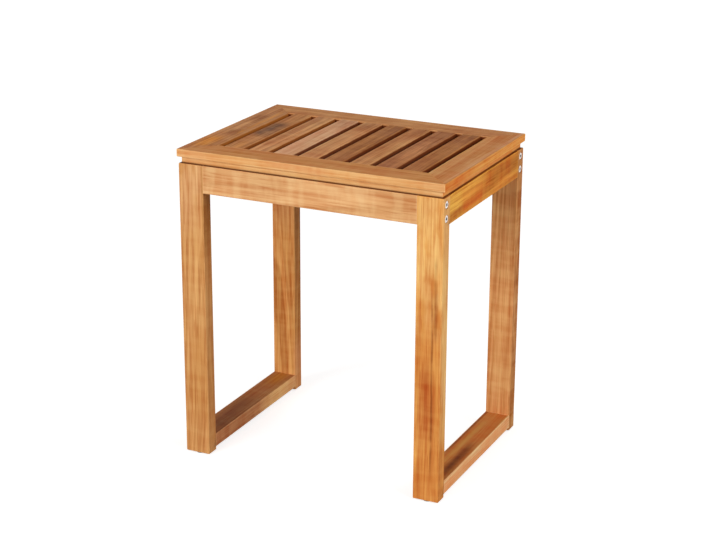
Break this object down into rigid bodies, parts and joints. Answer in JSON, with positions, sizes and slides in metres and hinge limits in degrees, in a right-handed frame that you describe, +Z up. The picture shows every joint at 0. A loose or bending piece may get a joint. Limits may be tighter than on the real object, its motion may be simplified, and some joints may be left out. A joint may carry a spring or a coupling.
{
  "type": "bath stool",
  "caption": "Wooden bath stool: a mitred, slatted seat that drains, on loop-shaped side frames joined by long aprons that are screwed through the legs, to sit on or to stand bath things on.",
  "frame": {"origin": "middle of the footprint, on the floor", "axes": "+X along the stool to its right, +Y from front to back, +Z up"},
  "size_m": [0.396, 0.29, 0.45],
  "materials": {
    "slat_timber": "oiled hardwood, brown, satin, grain along the slat",
    "seat_border_timber": "oiled hardwood, brown, satin, grain along each board",
    "leg_timber": "oiled hardwood, golden tan with darker streaks, satin, upright grain",
    "floor_rail_timber": "oiled hardwood, red-brown, satin",
    "apron_timber": "oiled hardwood, golden tan, satin, grain along the board",
    "tongue_timber": "plain dry hardwood, hidden in the mitres",
    "apron_screw_steel": "bright zinc-plated steel",
    "seat_screw_steel": "zinc-plated steel",
    "glide_plastic": "black polyethylene"
  },
  "bodies": {
    "root": {"apron_screws": "apron_screw_steel", "foot_glides": "glide_plastic", "front_apron": "apron_timber", "front_left_leg": "leg_timber", "front_right_leg": "leg_timber", "left_floor_rail": "floor_rail_timber", "left_side_apron": "apron_timber", "mitre_tongues": "tongue_timber", "rear_apron": "apron_timber", "rear_left_leg": "leg_timber", "rear_right_leg": "leg_timber", "right_floor_rail": "floor_rail_timber", "right_side_apron": "apron_timber", "seat_front_member": "seat_border_timber", "seat_left_member": "seat_border_timber", "seat_rear_member": "seat_border_timber", "seat_right_member": "seat_border_timber", "seat_screws": "seat_screw_steel", "seat_slat_1": "slat_timber", "seat_slat_2": "slat_timber", "seat_slat_3": "slat_timber", "seat_slat_4": "slat_timber", "seat_slat_5": "slat_timber", "seat_slat_6": "slat_timber", "seat_slat_7": "slat_timber", "seat_slat_8": "slat_timber"}
  },
  "joints": []
}
